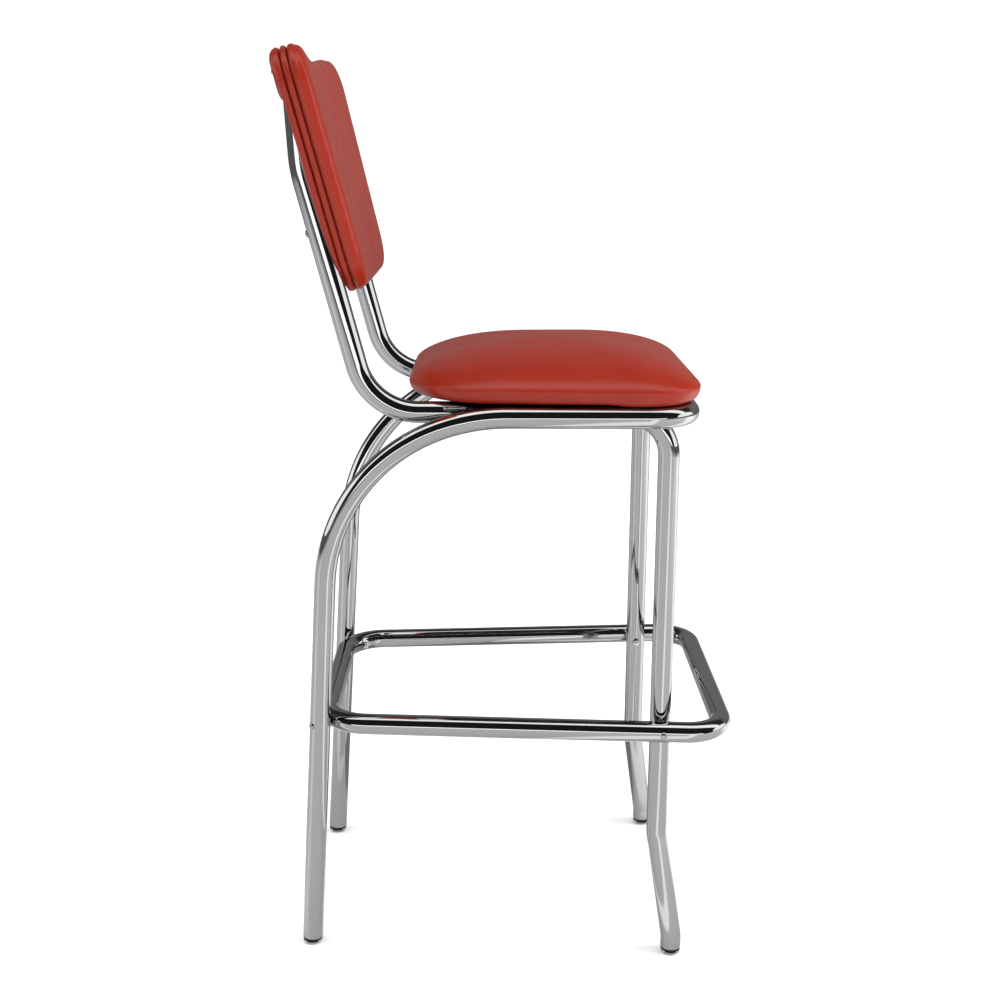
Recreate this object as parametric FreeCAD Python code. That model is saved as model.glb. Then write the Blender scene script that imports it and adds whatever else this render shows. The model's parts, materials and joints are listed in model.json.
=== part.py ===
import FreeCAD, Part
import math
import os
from FreeCAD import Vector as V

os.makedirs("parts", exist_ok=True)

# ---------------------------------------------------------------- dimensions
# Millimetres. X runs forward, Y to the sitter's left, Z up, floor at Z 0.
# Drawn about a side-view datum, then moved by datum_x so that the origin is
# under the middle of the whole stool.
datum_x = -28.2

tube_r = 12.7              # one inch steel tube
tube_wall = 1.5
tube_end_z = 8.6           # leg tubes stop this far above the floor

# seat hoop: rear legs, big arcs, outer rails and front loop in one tube
leg_ring_x = -208.5        # rear leg at leg_ref_z
leg_ring_y = 151.9
leg_ref_z = 300.0
leg_slope = 0.0615         # forward lean of the rear leg
leg_plan_deg = 8.0         # plan angle of the plane that holds leg and arc
hoop_arc_r = 219.0
hoop_rail_z = 685.0
hoop_rail_y = 177.3
hoop_front_x = 232.0
hoop_corner_r = 50.8
hoop_arc_pieces = 8

# side tubes: upright, inner rail and front leg in one tube
side_y = 151.0
side_rail_z = 686.5
upright_x800 = -169.8      # upright centre line at Z 800
upright_lean = 0.2612
upright_bend_z = 960.0
upright_top_z = 1050.0
upright_top_lean = 0.055
upright_bend_r = 150.0
side_rear_r = 72.7
side_front_r = 52.0
front_leg_x = 207.9
knee_z = 152.0
knee_r = 40.0
front_foot_x = 227.0
front_foot_y = 174.0
collar_z = 23.5
collar_r = 30.0

# footrest ring
ring_z = 299.2
ring_y0 = 163.1            # rail half width at X 0
ring_dy = 0.0655           # widening per mm forward
ring_front_x = 284.2
ring_rear_x = -203.0
ring_front_r = 45.0
ring_gap = 0.25

# screws
ring_screw_r = 2.5
ring_head_r = 4.3
seat_screw_r = 3.0
back_screw_r = 2.5

# seat
strap_x = (10.0, 132.0)
strap_w = 30.0
strap_t = 3.0
strap_top_z = 699.2
strap_screw_y = 95.0
dust_t = 0.8
cover_t = 1.2
seat_front_x = 246.0
seat_rear_x = -98.0
seat_front_hw = 190.0
seat_rear_hw = 179.0
seat_top_z = 758.0
seat_side_z = 715.0        # widest level of the cushion
seat_crown_p = 2.15
seat_crown_q = 1.54
seat_front_corner = 68.0
seat_rear_corner = 100.0
seat_board_t = 12.0
seat_board_inset = 15.0

# back pad, drawn in its own plane: a across, b up along the pad, c forward
pad_lean = math.atan(upright_lean)
pad_b0 = 975.0
pad_top_b = 1113.0 - 975.0
pad_bot_b = 838.0 - 975.0
pad_top_hw = 191.0
pad_bot_hw = 158.0
pad_top_r = 40.0
pad_bot_r = 38.0
pad_dip = 5.0
pad_sag = 6.0
pad_curve = 5.0            # edges stand this far ahead of the middle
pad_front_curve = 9.0
c_rear = 45.0
c_welt0 = 53.2
c_welt1 = 61.3
c_board0 = 54.0
c_board1 = 61.3
c_front = 81.0
welt_w = 8.5
lower_screw_z = 889.0
upper_screw_b = 1088.6 - 975.0
bump_c = 39.4

# glides
glide_r = 12.2
ball_z = 4.2
ball_r = 2.95
socket_r = 3.25


# ---------------------------------------------------------------- helpers
def write(shape, name):
    shape = shape.copy()
    shape.translate(V(datum_x, 0, 0))
    shape.exportStep("parts/" + name + ".step")
    box = shape.BoundBox
    print("%-24s solids %d valid %s vol %.0f x %.1f..%.1f y %.1f..%.1f z %.1f..%.1f" % (
        name, len(shape.Solids), shape.isValid(), shape.Volume,
        box.XMin, box.XMax, box.YMin, box.YMax, box.ZMin, box.ZMax))
    return box


def mirror(shape):
    return shape.mirror(V(0, 0, 0), V(0, 1, 0))


def setback(a, b, c, r):
    """Length that a corner of radius r takes from each neighbour."""
    inner = (a - b).getAngle(c - b)
    return r / math.tan(inner / 2.0)


def rounded_path(points, cuts, closed=False):
    """Wire through the points, each corner replaced by a tangent arc."""
    n = len(points)
    order = range(n) if closed else range(1, n - 1)
    arcs = []
    for k, i in enumerate(order):
        a, b, c = points[(i - 1) % n], points[i], points[(i + 1) % n]
        u, w = a - b, c - b
        u.normalize()
        w.normalize()
        half = u.getAngle(w) / 2.0
        t = cuts[k]
        bis = u + w
        bis.normalize()
        centre = b + bis * (t / math.cos(half))
        arcs.append([b + u * t, centre - bis * (t * math.tan(half)), b + w * t])
    edges = []
    here = arcs[-1][2] if closed else points[0]
    for p, m, q in arcs:
        if (p - here).Length > 0.002:
            edges.append(Part.LineSegment(here, p).toShape())
            start = p
        else:
            start = here
        edges.append(Part.Arc(start, m, q).toShape())
        here = q
    if not closed:
        edges.append(Part.LineSegment(here, points[-1]).toShape())
    return Part.Wire(edges)


def sweep(path, start, along, r):
    ring = Part.Wire(Part.makeCircle(r, start, along))
    solid = path.makePipeShell([ring], True, False)
    if solid.Volume < 0:
        solid.reverse()
    return solid


def bar(p, q, r):
    d = q - p
    return Part.makeCylinder(r, d.Length, p, d)


def place(shape, origin, direction):
    """Turn local +Z to the direction and move the local origin."""
    shape = shape.copy()
    shape.Placement = FreeCAD.Placement(origin, FreeCAD.Rotation(V(0, 0, 1), direction))
    return shape


def dome_head(r, h):
    """Low domed head, flat side at Z 0, crown at -h."""
    big = (r * r + h * h) / (2.0 * h)
    return Part.makeSphere(big, V(0, 0, big - h)).common(Part.makeCylinder(r, h, V(0, 0, -h)))


def cross_slot(head_h, size):
    a = Part.makeBox(2 * size, 0.8, 0.9, V(-size, -0.4, -head_h - 0.01))
    b = Part.makeBox(0.8, 2 * size, 0.9, V(-0.4, -size, -head_h - 0.01))
    return a.fuse(b)


def screw(head_r, head_h, shank_r, length):
    head = dome_head(head_r, head_h)
    shank = Part.makeCylinder(shank_r, length)
    tip = Part.makeCone(shank_r, shank_r * 0.6, 0.8, V(0, 0, length))
    return head.fuse([shank, tip]).removeSplitter().cut(cross_slot(head_h, 0.5 * head_r))


def hex_nut(flat, h, bore):
    rad = flat / math.sqrt(3.0)
    pts = [V(rad * math.cos(math.radians(60 * i)), rad * math.sin(math.radians(60 * i)), 0) for i in range(7)]
    prism = Part.Face(Part.makePolygon(pts)).extrude(V(0, 0, h))
    cap = Part.makeCone(rad + 1.2, rad * 0.83, h, V(0, 0, 0))
    return prism.common(cap).cut(Part.makeCylinder(bore, h))


def tee_nut(bore, barrel_r, barrel_h, flange_r, flange_t):
    """Barrel below Z 0, flange from Z 0 up."""
    s = Part.makeCylinder(barrel_r, barrel_h, V(0, 0, -barrel_h)).fuse(Part.makeCylinder(flange_r, flange_t))
    return s.removeSplitter().cut(Part.makeCylinder(bore, barrel_h + flange_t, V(0, 0, -barrel_h)))


def outline_wire(rows, radii):
    """Closed wire in XY through a list of corners with corner radii."""
    pts = [V(x, y, 0) for x, y in rows]
    n = len(pts)
    cuts = [setback(pts[i - 1], pts[i], pts[(i + 1) % n], radii[i]) for i in range(n)]
    return rounded_path(pts, cuts, True)


def edges_at(shape, test):
    return [e for e in shape.Edges if test(e)]


# ---------------------------------------------------------------- seat hoop
lean = math.atan(leg_slope)
plan = math.radians(leg_plan_deg)
arc_zc = hoop_rail_z - hoop_arc_r
arc_sc = leg_slope * (arc_zc - leg_ref_z) + hoop_arc_r / math.cos(lean)


def plan_point(s, z):
    """Point of the developed side view: s along the plan line, z up."""
    y = leg_ring_y + s * math.sin(plan)
    if y <= hoop_rail_y:
        return V(leg_ring_x + s * math.cos(plan), y, z)
    s_turn = (hoop_rail_y - leg_ring_y) / math.sin(plan)
    return V(leg_ring_x + s_turn * math.cos(plan) + (s - s_turn), hoop_rail_y, z)


sweep_deg = math.pi / 2.0 - lean
step = sweep_deg / hoop_arc_pieces
arc_corners = []
for k in range(hoop_arc_pieces):
    phi = math.pi - lean - step * (k + 0.5)
    rad = hoop_arc_r / math.cos(step / 2.0)
    arc_corners.append(plan_point(arc_sc + rad * math.cos(phi), arc_zc + rad * math.sin(phi)))

leg_end = plan_point(leg_slope * (tube_end_z - leg_ref_z), tube_end_z)
arc_cuts = [(arc_corners[1] - arc_corners[0]).Length / 2.0]
for k in range(1, hoop_arc_pieces):
    arc_cuts.append((arc_corners[k] - arc_corners[k - 1]).Length - arc_cuts[-1])
left_half = [leg_end] + arc_corners + [V(hoop_front_x, hoop_rail_y, hoop_rail_z)]
right_half = [V(p.x, -p.y, p.z) for p in reversed(left_half)]
hoop_points = left_half + right_half
corner_cut = hoop_corner_r
hoop_cuts = arc_cuts + [corner_cut, corner_cut] + list(reversed(arc_cuts))
hoop_path = rounded_path(hoop_points, hoop_cuts)
hoop_dir = hoop_points[1] - hoop_points[0]
hoop_outer = sweep(hoop_path, hoop_points[0], hoop_dir, tube_r)
hoop_inner = sweep(hoop_path, hoop_points[0], hoop_dir, tube_r - tube_wall)

# ---------------------------------------------------------------- side tubes
bend_x = upright_x800 - upright_lean * (upright_bend_z - 800.0)
rear_x = upright_x800 - upright_lean * (side_rail_z - 800.0)
top_x = bend_x - upright_top_lean * (upright_top_z - upright_bend_z)
side_points = [
    V(top_x, side_y, upright_top_z),
    V(bend_x, side_y, upright_bend_z),
    V(rear_x, side_y, side_rail_z),
    V(front_leg_x, side_y, side_rail_z),
    V(front_leg_x, side_y, knee_z),
    V(front_foot_x, front_foot_y, collar_z),
    V(front_foot_x, front_foot_y, tube_end_z)]
side_radii = [upright_bend_r, side_rear_r, side_front_r, knee_r, collar_r]
side_cuts = [setback(side_points[i], side_points[i + 1], side_points[i + 2], side_radii[i]) for i in range(5)]
side_path = rounded_path(side_points, side_cuts)
side_dir = side_points[1] - side_points[0]
side_outer = sweep(side_path, side_points[0], side_dir, tube_r)
side_inner = sweep(side_path, side_points[0], side_dir, tube_r - tube_wall)

# ---------------------------------------------------------------- footrest
rail_norm = math.sqrt(1.0 + ring_dy ** 2)
lo, hi = 30.0, 80.0
for _ in range(60):
    r = (lo + hi) / 2.0
    yc = ring_y0 + ring_dy * (ring_rear_x + r) - r * rail_norm
    reach = math.hypot(leg_ring_x - ring_rear_x - r, leg_ring_y - yc)
    if reach - r > 2 * tube_r + ring_gap:
        hi = r
    else:
        lo = r
ring_rear_r = (lo + hi) / 2.0
ring_arc_c = V(ring_rear_x + ring_rear_r, ring_y0 + ring_dy * (ring_rear_x + ring_rear_r) - ring_rear_r * rail_norm, ring_z)
print("ring rear corner radius", ring_rear_r)


def ring_y(x):
    return ring_y0 + ring_dy * x


ring_points = [
    V(ring_front_x, -ring_y(ring_front_x), ring_z),
    V(ring_front_x, ring_y(ring_front_x), ring_z),
    V(ring_rear_x, ring_y(ring_rear_x), ring_z),
    V(ring_rear_x, -ring_y(ring_rear_x), ring_z)]
ring_radii = [ring_front_r, ring_front_r, ring_rear_r, ring_rear_r]
ring_cuts = [setback(ring_points[i - 1], ring_points[i], ring_points[(i + 1) % 4], ring_radii[i]) for i in range(4)]


def ring_solid(r):
    """Closed loop, swept as two mirrored halves and joined."""
    half_pts = [V(ring_front_x, 0, ring_z), ring_points[1], ring_points[2], V(ring_rear_x, 0, ring_z)]
    path = rounded_path(half_pts, ring_cuts[1:3])
    half = sweep(path, half_pts[0], V(0, 1, 0), r)
    return half.fuse(mirror(half)).removeSplitter()


ring_outer = ring_solid(tube_r)
ring_inner = ring_solid(tube_r - tube_wall)

# screws of the ring: two through the front legs, two through the rear legs
front_rail_y = ring_y(front_leg_x)
front_screw_at = V(front_leg_x, front_rail_y + tube_r + 0.4, ring_z)
front_screw_dir = V(0, -1, 0)
front_nut_y = side_y - tube_r
rear_dir = V(ring_arc_c.x - leg_ring_x, ring_arc_c.y - leg_ring_y, 0)
rear_dir.normalize()
leg_at_ring = V(leg_ring_x, leg_ring_y, ring_z)
rear_screw_at = leg_at_ring - rear_dir * (tube_r + 0.25)
washer_t = 1.0
nut_h = 4.2
front_grip = front_screw_at.y - front_nut_y
rear_grip = tube_r * 4 + ring_gap + 0.25
front_screw = place(screw(ring_head_r, 2.4, ring_screw_r, front_grip + washer_t + nut_h + 0.8), front_screw_at, front_screw_dir)
rear_screw = place(screw(ring_head_r, 2.4, ring_screw_r, rear_grip + washer_t + nut_h + 0.8), rear_screw_at, rear_dir)
washer = Part.makeCylinder(5.0, washer_t).cut(Part.makeCylinder(ring_screw_r + 0.15, washer_t))
nut = hex_nut(8.0, nut_h, ring_screw_r + 0.05)
front_nut_at = V(front_leg_x, front_nut_y - 0.15, ring_z)
rear_nut_at = rear_screw_at + rear_dir * (rear_grip + 0.5)
front_washer = place(washer, front_nut_at, front_screw_dir)
rear_washer = place(washer, rear_nut_at, rear_dir)
front_nut = place(nut, front_nut_at + front_screw_dir * washer_t, front_screw_dir)
rear_nut = place(nut, rear_nut_at + rear_dir * washer_t, rear_dir)
front_hole = bar(V(front_leg_x, front_rail_y + 30, ring_z), V(front_leg_x, side_y - 30, ring_z), ring_screw_r + 0.2)
rear_hole = bar(rear_screw_at - rear_dir * 10, rear_screw_at + rear_dir * (rear_grip + 12), ring_screw_r + 0.2)

ring = ring_outer.cut(ring_inner)
ring = ring.cut(Part.makeCompound([front_hole, mirror(front_hole), rear_hole, mirror(rear_hole)]))
write(ring, "footrest_ring")
write(Part.makeCompound([front_screw, mirror(front_screw), rear_screw, mirror(rear_screw)]), "footrest_screws")
write(Part.makeCompound([front_washer, mirror(front_washer), rear_washer, mirror(rear_washer)]), "footrest_washers")
write(Part.makeCompound([front_nut, mirror(front_nut), rear_nut, mirror(rear_nut)]), "footrest_nuts")

hoop = hoop_outer.cut(hoop_inner).cut(Part.makeCompound([rear_hole, mirror(rear_hole)]))
write(hoop, "seat_hoop_tube")

# ---------------------------------------------------------------- back pad
U = V(-math.sin(pad_lean), 0, math.cos(pad_lean))
N = V(math.cos(pad_lean), 0, math.sin(pad_lean))
pad_matrix = FreeCAD.Matrix(
    0, U.x, N.x, U.x * pad_b0,
    1, 0, 0, 0,
    0, U.z, N.z, U.z * pad_b0,
    0, 0, 0, 1)
pad_place = FreeCAD.Placement(pad_matrix)


def to_world(shape):
    shape = shape.copy()
    shape.Placement = pad_place.multiply(shape.Placement)
    return shape


def pad_abc(p):
    """World point to pad coordinates."""
    return V(p.y, p.dot(U) - pad_b0, p.dot(N))


def pad_outline(inset):
    """Closed outline of the pad in its own plane."""
    tw, bw = pad_top_hw - inset, pad_bot_hw - inset * 1.02
    tb, bb = pad_top_b - inset, pad_bot_b + inset
    slope = (tw - bw) / (tb - bb)
    corners = [V(tw, tb, 0), V(bw, bb, 0)]
    rt, rb = max(pad_top_r - inset, 3.0), max(pad_bot_r - inset, 3.0)
    top_mid, bot_mid = V(0, tb - pad_dip, 0), V(0, bb - pad_sag, 0)
    # right side corner arcs
    t1 = setback(V(0, tb - pad_dip * 0.2, 0), corners[0], corners[1], rt)
    t2 = setback(corners[0], corners[1], V(0, bb - pad_sag * 0.2, 0), rb)
    side_u = corners[1] - corners[0]
    side_u.normalize()

    def corner(c, u, w, t):
        half = u.getAngle(w) / 2.0
        bis = u + w
        bis.normalize()
        centre = c + bis * (t / math.cos(half))
        return c + u * t, centre - bis * (t * math.tan(half)), c + w * t

    # the top edge rises to the corner, the bottom edge rises to the corner
    top_u = V(-1, -0.045, 0)
    bot_u = V(-1, -0.065, 0)
    top_u.normalize()
    bot_u.normalize()
    p1, m1, q1 = corner(corners[0], top_u, side_u, t1)
    p2, m2, q2 = corner(corners[1], side_u * -1, bot_u, t2)
    mx = lambda p: V(-p.x, p.y, p.z)
    edges = [
        Part.Arc(mx(p1), V(0, p1.y - pad_dip * 0.75, 0), p1).toShape(),
        Part.Arc(p1, m1, q1).toShape(),
        Part.LineSegment(q1, p2).toShape(),
        Part.Arc(p2, m2, q2).toShape(),
        Part.Arc(q2, V(0, q2.y - pad_sag * 0.8, 0), mx(q2)).toShape(),
        Part.Arc(mx(q2), mx(m2), mx(p2)).toShape(),
        Part.LineSegment(mx(p2), mx(q1)).toShape(),
        Part.Arc(mx(q1), mx(m1), mx(p1)).toShape()]
    return Part.Wire(edges)


def pad_slab(inset, c0, c1, curve0, curve1):
    """Part of the pad between two curved faces, edges given at the rim."""
    prism = Part.Face(pad_outline(inset)).extrude(V(0, 0, 200))
    prism.translate(V(0, 0, -20))

    def front_of(c, curve):
        rad = (pad_top_hw ** 2 + curve ** 2) / (2.0 * curve)
        return Part.makeCylinder(rad, 600, V(0, -300, c - curve + rad), V(0, 1, 0))

    return prism.common(front_of(c0, curve0)).cut(front_of(c1, curve1))


def rim_fillet(shape, r, front):
    """Round the rim of a slab on its front or rear side."""
    mid = shape.BoundBox.ZMin + shape.BoundBox.ZLength / 2.0
    picked = []
    for e in shape.Edges:
        zs = [v.Point.z for v in e.Vertexes]
        a, b = e.ParameterRange
        p = e.valueAt((a + b) / 2.0)
        zs.append(p.z)
        spread = max(zs) - min(zs)
        t = e.tangentAt((a + b) / 2.0)
        if abs(t.z) > 0.8:
            continue
        own = [f for f in shape.Faces if any(e.isSame(x) for x in f.Edges)]
        areas = sorted(f.Area for f in own)
        if areas[-1] < 30000:
            continue
        big = [f for f in own if f.Area == areas[-1]][0]
        is_front = big.CenterOfMass.z > mid
        if is_front == front:
            picked.append(e)
    return shape.makeFillet(r, picked)


front_outer = rim_fillet(pad_slab(0.0, c_welt1 + 0.2, c_front, pad_curve, pad_front_curve), 13.0, True)
front_outer = rim_fillet(front_outer, 3.0, False)
front_inner = rim_fillet(pad_slab(1.4, c_welt1 + 0.2, c_front - 1.4, pad_curve, pad_front_curve), 11.6, True)
rear_outer = rim_fillet(pad_slab(0.0, c_rear, c_welt0 - 0.2, pad_curve, pad_curve), 3.6, False)
rear_outer = rim_fillet(rear_outer, 2.4, True)
rear_inner = rim_fillet(pad_slab(1.4, c_rear + 1.4, c_welt0 - 0.2, pad_curve, pad_curve), 2.4, False)
rear_core = pad_slab(welt_w + 0.6, c_welt0 - 2.0, c_board0 - 0.1, pad_curve, pad_curve)
welt = pad_slab(0.0, c_welt0, c_welt1, pad_curve, pad_curve)
welt = rim_fillet(rim_fillet(welt, 3.0, True), 3.0, False)
welt_hole = Part.Face(pad_outline(welt_w)).extrude(V(0, 0, 200))
welt_hole.translate(V(0, 0, -20))
welt = welt.cut(welt_hole)
board = pad_slab(welt_w + 0.3, c_board0, c_board1, pad_curve, pad_curve)

# rear cover bulges over the tube ends
bump_w, bump_lo, bump_hi = 46.0, 1056.0 - pad_b0, 1105.0 - pad_b0


def bump(side, shrink):
    a0 = side * side_y - bump_w / 2.0 + shrink
    box = Part.makeBox(bump_w - 2 * shrink, bump_hi - bump_lo - 2 * shrink, 9.0, V(a0, bump_lo + shrink, bump_c + shrink))
    rear = [e for e in box.Edges if all(abs(v.Point.z - bump_c - shrink) < 1e-6 for v in e.Vertexes)]
    ups = [e for e in box.Edges if abs(e.Vertexes[0].Point.z - e.Vertexes[1].Point.z) > 1]
    return box.makeFillet(6.0 - shrink, rear + ups)


rear_outer = rear_outer.fuse([bump(1, 0.0), bump(-1, 0.0)]).removeSplitter()
rear_inner = rear_inner.fuse([bump(1, 1.4), bump(-1, 1.4), rear_core]).removeSplitter()
rear_cover = rear_outer.cut(rear_inner)
rear_foam = rear_inner
front_cover = front_outer.cut(front_inner)
front_foam = front_inner

# room for the tubes that press into the pad
top_axis = side_points[0] - side_points[1]
top_axis.normalize()
room_points = list(side_points[:4])
room_points[0] = side_points[0] + top_axis * 1.2
room_path = rounded_path(room_points, side_cuts[:2])
room = sweep(room_path, room_points[0], side_dir, tube_r + 0.5)
rooms = Part.makeCompound([room, mirror(room)])

# screw positions in pad coordinates
b_low = (lower_screw_z - 0.2527 * 25.0) / U.z - pad_b0
tube_axis_c = pad_abc(V(upright_x800, 0, 800.0)).z
low_at_c = tube_axis_c - tube_r - 0.2
low_spots = [V(side_y, b_low, low_at_c), V(-side_y, b_low, low_at_c)]
high_spots = [V(side_y, upper_screw_b, bump_c), V(-side_y, upper_screw_b, bump_c)]


def board_front_c(a, c_rim):
    rad = (pad_top_hw ** 2 + pad_curve ** 2) / (2.0 * pad_curve)
    return c_rim - pad_curve + rad - math.sqrt(rad ** 2 - a ** 2)


nut_c = board_front_c(side_y, c_board1) + 0.75
low_len = nut_c + 0.5 - low_at_c
cup_h = 1.6
high_head_c = bump_c - cup_h + 0.3
high_len = nut_c + 0.5 - high_head_c
low_screws = [place(screw(4.5, 2.4, back_screw_r, low_len), p, V(0, 0, 1)) for p in low_spots]
high_screws = [place(screw(4.0, 2.2, back_screw_r, high_len), V(p.x, p.y, high_head_c), V(0, 0, 1)) for p in high_spots]
cup_solid = Part.makeCone(5.2, 8.0, cup_h, V(0, 0, -cup_h))
cup_solid = cup_solid.cut(Part.makeCylinder(4.2, cup_h - 0.3, V(0, 0, -cup_h))).cut(Part.makeCylinder(back_screw_r + 0.15, 4, V(0, 0, -2)))
cups = [place(cup_solid, p, V(0, 0, 1)) for p in high_spots]
tee = tee_nut(back_screw_r + 0.1, 3.8, 6.4, 9.0, 1.1)
tees = [place(tee, V(p.x, p.y, nut_c), V(0, 0, 1)) for p in low_spots + high_spots]
tee_room = [place(Part.makeCylinder(3.8, 12, V(0, 0, -12)).fuse(Part.makeCylinder(9.2, 1.4, V(0, 0, -0.05))),
                  V(p.x, p.y, nut_c), V(0, 0, 1)) for p in low_spots + high_spots]
flange_room = [place(Part.makeCylinder(9.2, 3.0, V(0, 0, -1.6)), V(p.x, p.y, nut_c), V(0, 0, 1)) for p in low_spots + high_spots]
shank_room = [bar(V(p.x, p.y, 10), V(p.x, p.y, nut_c + 2.2), back_screw_r + 0.25) for p in low_spots + high_spots]

board_w = to_world(board).cut(rooms)
board_w = board_w.cut(to_world(Part.makeCompound(tee_room)))
front_foam_w = to_world(front_foam).cut(rooms).cut(to_world(Part.makeCompound(flange_room + shank_room)))
rear_foam_w = to_world(rear_foam).cut(rooms).cut(to_world(Part.makeCompound(shank_room)))
rear_foam_w = max(rear_foam_w.Solids, key=lambda s: s.Volume) if len(rear_foam_w.Solids) > 1 else rear_foam_w
rear_cover_w = to_world(rear_cover).cut(rooms).cut(to_world(Part.makeCompound(shank_room)))
front_cover_w = to_world(front_cover)
welt_w3 = to_world(welt)
write(board_w, "back_board")
write(front_foam_w, "back_front_foam")
write(front_cover_w, "back_front_cover")
write(welt_w3, "back_welt")
write(rear_foam_w, "back_rear_foam")
write(rear_cover_w, "back_rear_cover")
write(to_world(Part.makeCompound(low_screws)), "back_lower_screws")
write(to_world(Part.makeCompound(high_screws)), "back_upper_screws")
write(to_world(Part.makeCompound(cups)), "back_cup_washers")
write(to_world(Part.makeCompound(tees)), "back_tee_nuts")

# plugs that close the upper tube ends
plug = Part.makeCylinder(tube_r - tube_wall - 0.1, 12.0, V(0, 0, -12.0)).fuse(Part.makeCylinder(tube_r - 0.4, 0.8)).removeSplitter()
plug = place(plug, side_points[0] + top_axis * 0.05, top_axis)
write(Part.makeCompound([plug, mirror(plug)]), "tube_end_plugs")

# side tubes with their holes
low_hole = to_world(bar(V(side_y, b_low, 0), V(side_y, b_low, nut_c), back_screw_r + 0.2))
side_tube = side_outer.cut(side_inner).cut(Part.makeCompound([low_hole, front_hole]))
write(side_tube, "side_tube_left")
write(mirror(side_tube), "side_tube_right")

# ---------------------------------------------------------------- welds
outers = Part.makeCompound([hoop_outer, side_outer, mirror(side_outer)])
weld_y = (hoop_rail_y + side_y) / 2.0
beads = []
for x in (-52.0, 40.0, 130.0):
    for dz in (-8.2, 8.2):
        core = Part.makeCylinder(3.4, 22.0, V(x, weld_y, 685.75 + dz), V(1, 0, 0))
        caps = [Part.makeSphere(3.4, V(x, weld_y, 685.75 + dz)), Part.makeSphere(3.4, V(x + 22.0, weld_y, 685.75 + dz))]
        bead = core.fuse(caps).removeSplitter()
        beads += [bead, mirror(bead)]
weld_solids = []
for b in beads:
    cut = b.cut(hoop_outer).cut(side_outer).cut(mirror(side_outer))
    weld_solids.append(max(cut.Solids, key=lambda s: s.Volume))
write(Part.makeCompound(weld_solids), "rail_welds")

# ---------------------------------------------------------------- seat
straps = []
for x in strap_x:
    s = Part.makeBox(strap_w, 2 * side_y - 8.0, strap_t, V(x - strap_w / 2.0, -side_y + 4.0, strap_top_z - strap_t))
    s = s.cut(side_outer).cut(mirror(side_outer))
    for y in (strap_screw_y, -strap_screw_y):
        s = s.cut(Part.makeCylinder(seat_screw_r + 0.3, 20, V(x, y, strap_top_z - 10)))
    straps.append(max(s.Solids, key=lambda q: q.Volume))
write(straps[0], "seat_strap_rear")
write(straps[1], "seat_strap_front")


def seat_outline(inset, k=1.0):
    """Plan outline of the cushion, moved in by inset, then scaled about its middle."""
    mid = (seat_front_x + seat_rear_x) / 2.0
    f, r = seat_front_x - inset, seat_rear_x + inset
    fh, rh = seat_front_hw - inset, seat_rear_hw - inset
    pts = [V(mid + k * (x - mid), k * y, 0) for x, y in ((f, -fh), (f, fh), (r, rh), (r, -rh))]
    radii = [k * (q - inset) for q in (seat_front_corner, seat_front_corner, seat_rear_corner, seat_rear_corner)]
    cuts = [setback(pts[i - 1], pts[i], pts[(i + 1) % 4], radii[i]) for i in range(4)]
    return rounded_path(pts, cuts, True)


def seat_pillow(inset, z_low, z_top):
    """Crowned closed cushion through a stack of outlines."""
    levels = [(0.958, z_low), (0.978, z_low + 1.6), (0.993, z_low + 6.0), (1.0, seat_side_z)]
    for k in (0.99, 0.965, 0.93, 0.88, 0.81, 0.72, 0.61, 0.48, 0.34, 0.2, 0.06):
        levels.append((k, seat_side_z + (z_top - seat_side_z) * (1.0 - k ** seat_crown_p) ** (1.0 / seat_crown_q)))
    wires = []
    for k, z in levels:
        wire = seat_outline(inset, k)
        wire.translate(V(0, 0, z))
        wires.append(wire)
    return Part.makeLoft(wires, True, False, False, 3)


dust_z = strap_top_z + 0.1
cover_z = dust_z + dust_t
board_z = cover_z + cover_t
foam_z = board_z + seat_board_t
seat_outer = seat_pillow(0.0, cover_z, seat_top_z)
seat_inner = seat_pillow(1.4, board_z, seat_top_z - 1.4)
window = Part.Face(seat_outline(40.0)).extrude(V(0, 0, 10))
window.translate(V(0, 0, cover_z - 5))
seat_cover = seat_outer.cut(seat_inner).cut(window)
seat_board = Part.Face(seat_outline(seat_board_inset)).extrude(V(0, 0, seat_board_t))
seat_board.translate(V(0, 0, board_z))
seat_foam = seat_inner.cut(seat_board)
# the dust cover sits under the cover's folded edge
dust = Part.Face(seat_outline(30.0)).extrude(V(0, 0, dust_t))
dust.translate(V(0, 0, dust_z))
seat_nut_z = foam_z + 0.0
seat_screw_low = strap_top_z - strap_t - 0.05
seat_spots = [(x, y) for x in strap_x for y in (strap_screw_y, -strap_screw_y)]
seat_len = seat_nut_z + 1.0 - seat_screw_low
seat_screws = [place(screw(6.0, 3.2, seat_screw_r, seat_len), V(x, y, seat_screw_low), V(0, 0, 1)) for x, y in seat_spots]
seat_tee = tee_nut(seat_screw_r + 0.1, 4.2, 9.0, 9.5, 1.2)
seat_tees = [place(seat_tee, V(x, y, seat_nut_z), V(0, 0, 1)) for x, y in seat_spots]
for x, y in seat_spots:
    seat_board = seat_board.cut(Part.makeCylinder(4.2, 30, V(x, y, board_z - 5)))
    dust = dust.cut(Part.makeCylinder(seat_screw_r + 0.3, 10, V(x, y, dust_z - 5)))
    seat_foam = seat_foam.cut(Part.makeCylinder(9.7, 1.3, V(x, y, foam_z)))
    seat_foam = seat_foam.cut(Part.makeCylinder(seat_screw_r + 0.3, 4.0, V(x, y, foam_z)))
write(seat_board, "seat_board")
write(seat_foam, "seat_foam")
write(seat_cover, "seat_cover")
write(dust, "seat_dust_cover")
write(Part.makeCompound(seat_screws), "seat_screws")
write(Part.makeCompound(seat_tees), "seat_tee_nuts")

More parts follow.
